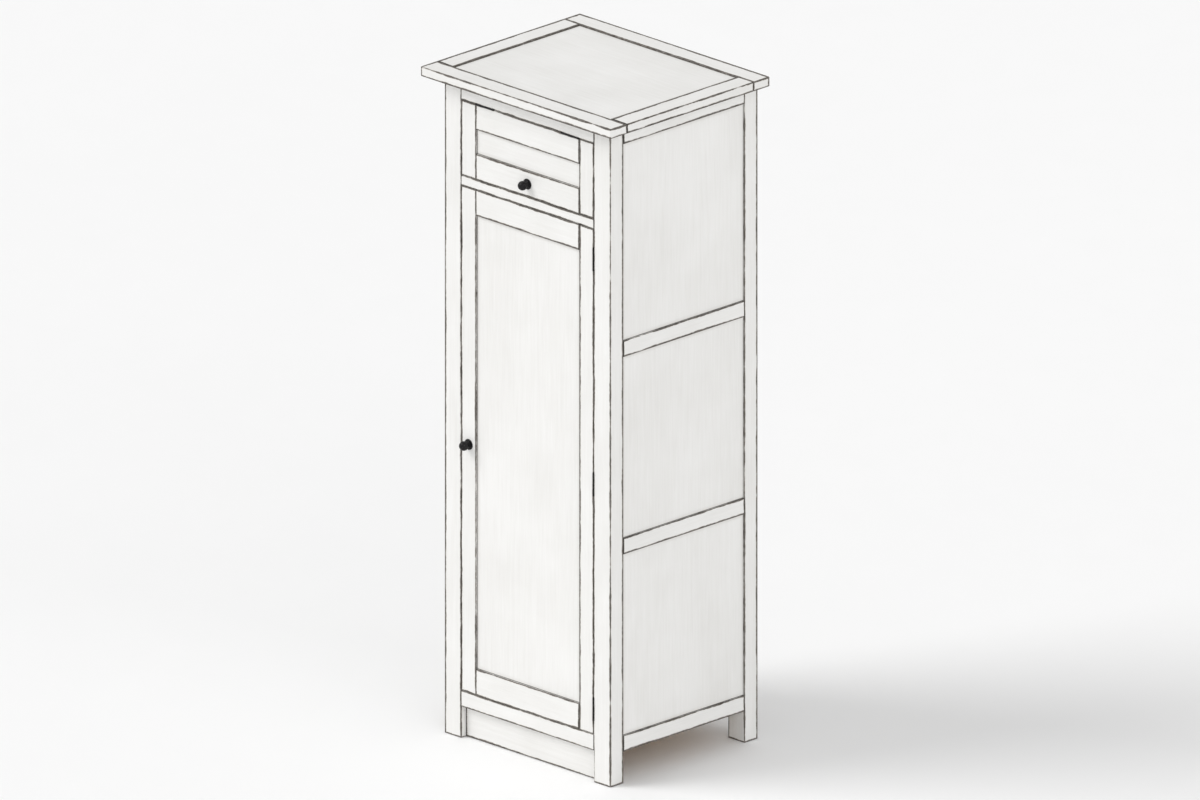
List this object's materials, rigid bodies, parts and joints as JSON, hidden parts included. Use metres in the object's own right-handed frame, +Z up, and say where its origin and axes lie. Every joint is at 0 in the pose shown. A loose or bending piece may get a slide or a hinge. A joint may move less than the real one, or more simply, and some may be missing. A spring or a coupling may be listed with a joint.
{
  "type": "larder cupboard",
  "caption": "Tall framed and panelled larder cupboard with an overhanging top, a side-hung panelled door, a lift-up flap above it and shelves inside.",
  "frame": {"origin": "middle of the top's footprint, on the floor", "axes": "+X to the right seen from the front, +Y to the back, +Z up"},
  "size_m": [0.716, 0.6, 1.88],
  "materials": {
    "painted_wood": "satin white paint, brushed",
    "natural_wood": "clear lacquer",
    "black_iron": "black waxed",
    "steel": "zinc plated",
    "brass": "turned",
    "catch": "moulded"
  },
  "bodies": {
    "carcass": {"back_boards": "painted_wood", "base_board": "natural_wood", "carcass_screws": "steel", "compartment_floor": "natural_wood", "door_catch": "catch", "front_bottom_rail": "painted_wood", "front_left_post": "painted_wood", "front_mid_rail": "painted_wood", "front_right_post": "painted_wood", "front_top_rail": "painted_wood", "hinge_frame_leaves": "black_iron", "hinge_pins": "black_iron", "left_bottom_rail": "painted_wood", "left_lower_panel": "painted_wood", "left_lower_rail": "painted_wood", "left_middle_panel": "painted_wood", "left_top_rail": "painted_wood", "left_upper_panel": "painted_wood", "left_upper_rail": "painted_wood", "plinth_board": "painted_wood", "rear_bottom_rail": "painted_wood", "rear_left_post": "painted_wood", "rear_right_post": "painted_wood", "rear_top_rail": "painted_wood", "right_bottom_rail": "painted_wood", "right_lower_panel": "painted_wood", "right_lower_rail": "painted_wood", "right_middle_panel": "painted_wood", "right_top_rail": "painted_wood", "right_upper_panel": "painted_wood", "right_upper_rail": "painted_wood", "shelf_cleats": "natural_wood", "shelf_lower": "natural_wood", "shelf_middle": "natural_wood", "shelf_pegs": "brass", "shelf_upper": "natural_wood", "stay_wall_bracket": "steel", "top_front_board": "painted_wood", "top_left_board": "painted_wood", "top_panel": "painted_wood", "top_rear_board": "painted_wood", "top_right_board": "painted_wood"},
    "door": {"door_bottom_rail": "painted_wood", "door_hinge_leaves": "black_iron", "door_hinge_stile": "painted_wood", "door_knob": "black_iron", "door_lock_stile": "painted_wood", "door_panel": "painted_wood", "door_screws": "steel", "door_top_rail": "painted_wood"},
    "flap": {"flap_bottom_rail": "painted_wood", "flap_hinge_leaves": "black_iron", "flap_knob": "black_iron", "flap_left_stile": "painted_wood", "flap_panel": "painted_wood", "flap_right_stile": "painted_wood", "flap_screws": "steel", "flap_top_rail": "painted_wood", "stay_flap_bracket": "steel"},
    "stay_arm": {"stay_arm": "steel"}
  },
  "joints": [
    {"name": "door_hinge", "type": "hinge", "parent": "carcass", "child": "door", "pos_m": [0.249, -0.256, 0.848], "axis": [0, 0, 1], "range_deg": [0, 170]},
    {"name": "flap_hinge", "type": "hinge", "parent": "carcass", "child": "flap", "pos_m": [0, -0.256, 1.803], "axis": [-1, 0, 0], "range_deg": [0, 90]},
    {"name": "stay_pivot", "type": "hinge", "parent": "flap", "child": "stay_arm", "pos_m": [-0.242, -0.223, 1.708], "axis": [-1, 0, 0], "range_deg": [-45, 0]}
  ],
  "couplings": [
    {"joint": "stay_pivot", "follows": "flap_hinge", "ratio": -0.5}
  ]
}
